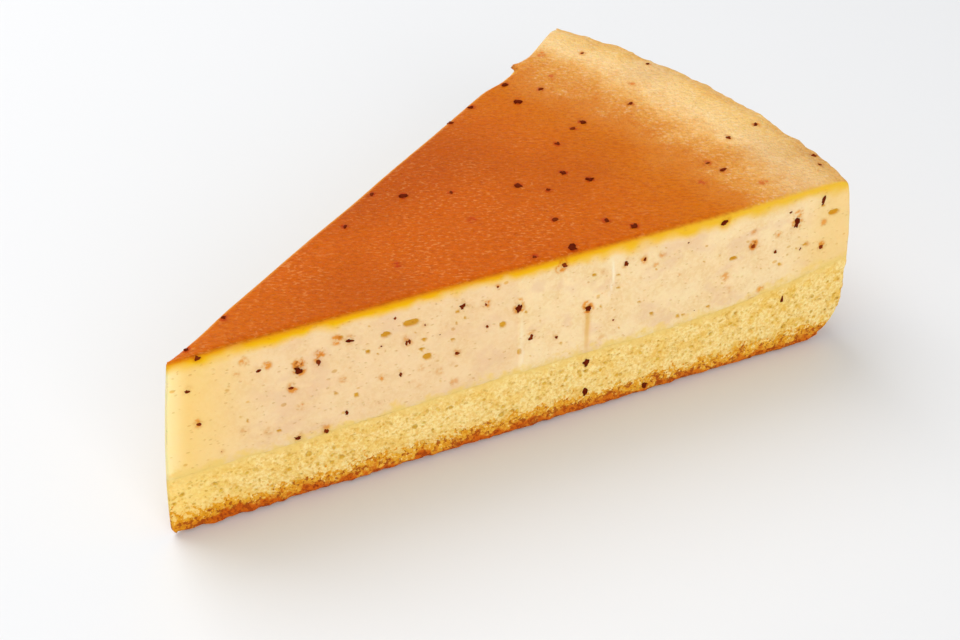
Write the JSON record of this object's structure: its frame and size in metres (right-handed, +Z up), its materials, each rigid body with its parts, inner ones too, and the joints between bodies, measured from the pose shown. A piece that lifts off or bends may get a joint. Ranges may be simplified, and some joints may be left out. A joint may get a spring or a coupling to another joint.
{
  "type": "baked cheesecake slice",
  "caption": "Wedge of round baked cheesecake: cream cheese filling with a browned, slightly dished top on a thin sponge base that curls up at the wall. Stands on its flat base.",
  "frame": {"origin": "middle of the bounding box's base, in the plane the slice stands on", "axes": "+X from the cut tip to the round outer wall, +Y to the far cut face, +Z up"},
  "size_m": [0.1122, 0.0678, 0.0321],
  "materials": {
    "sponge": "yellow open sponge crumb with a thin golden brown baked crust underneath",
    "cheesecake": "pale cream filling with dark flecks and small bubbles, an egg yellow band under the top, and a satin orange brown baked top"
  },
  "bodies": {
    "root": {"sponge_base": "sponge", "cheese_filling": "cheesecake"}
  },
  "joints": []
}
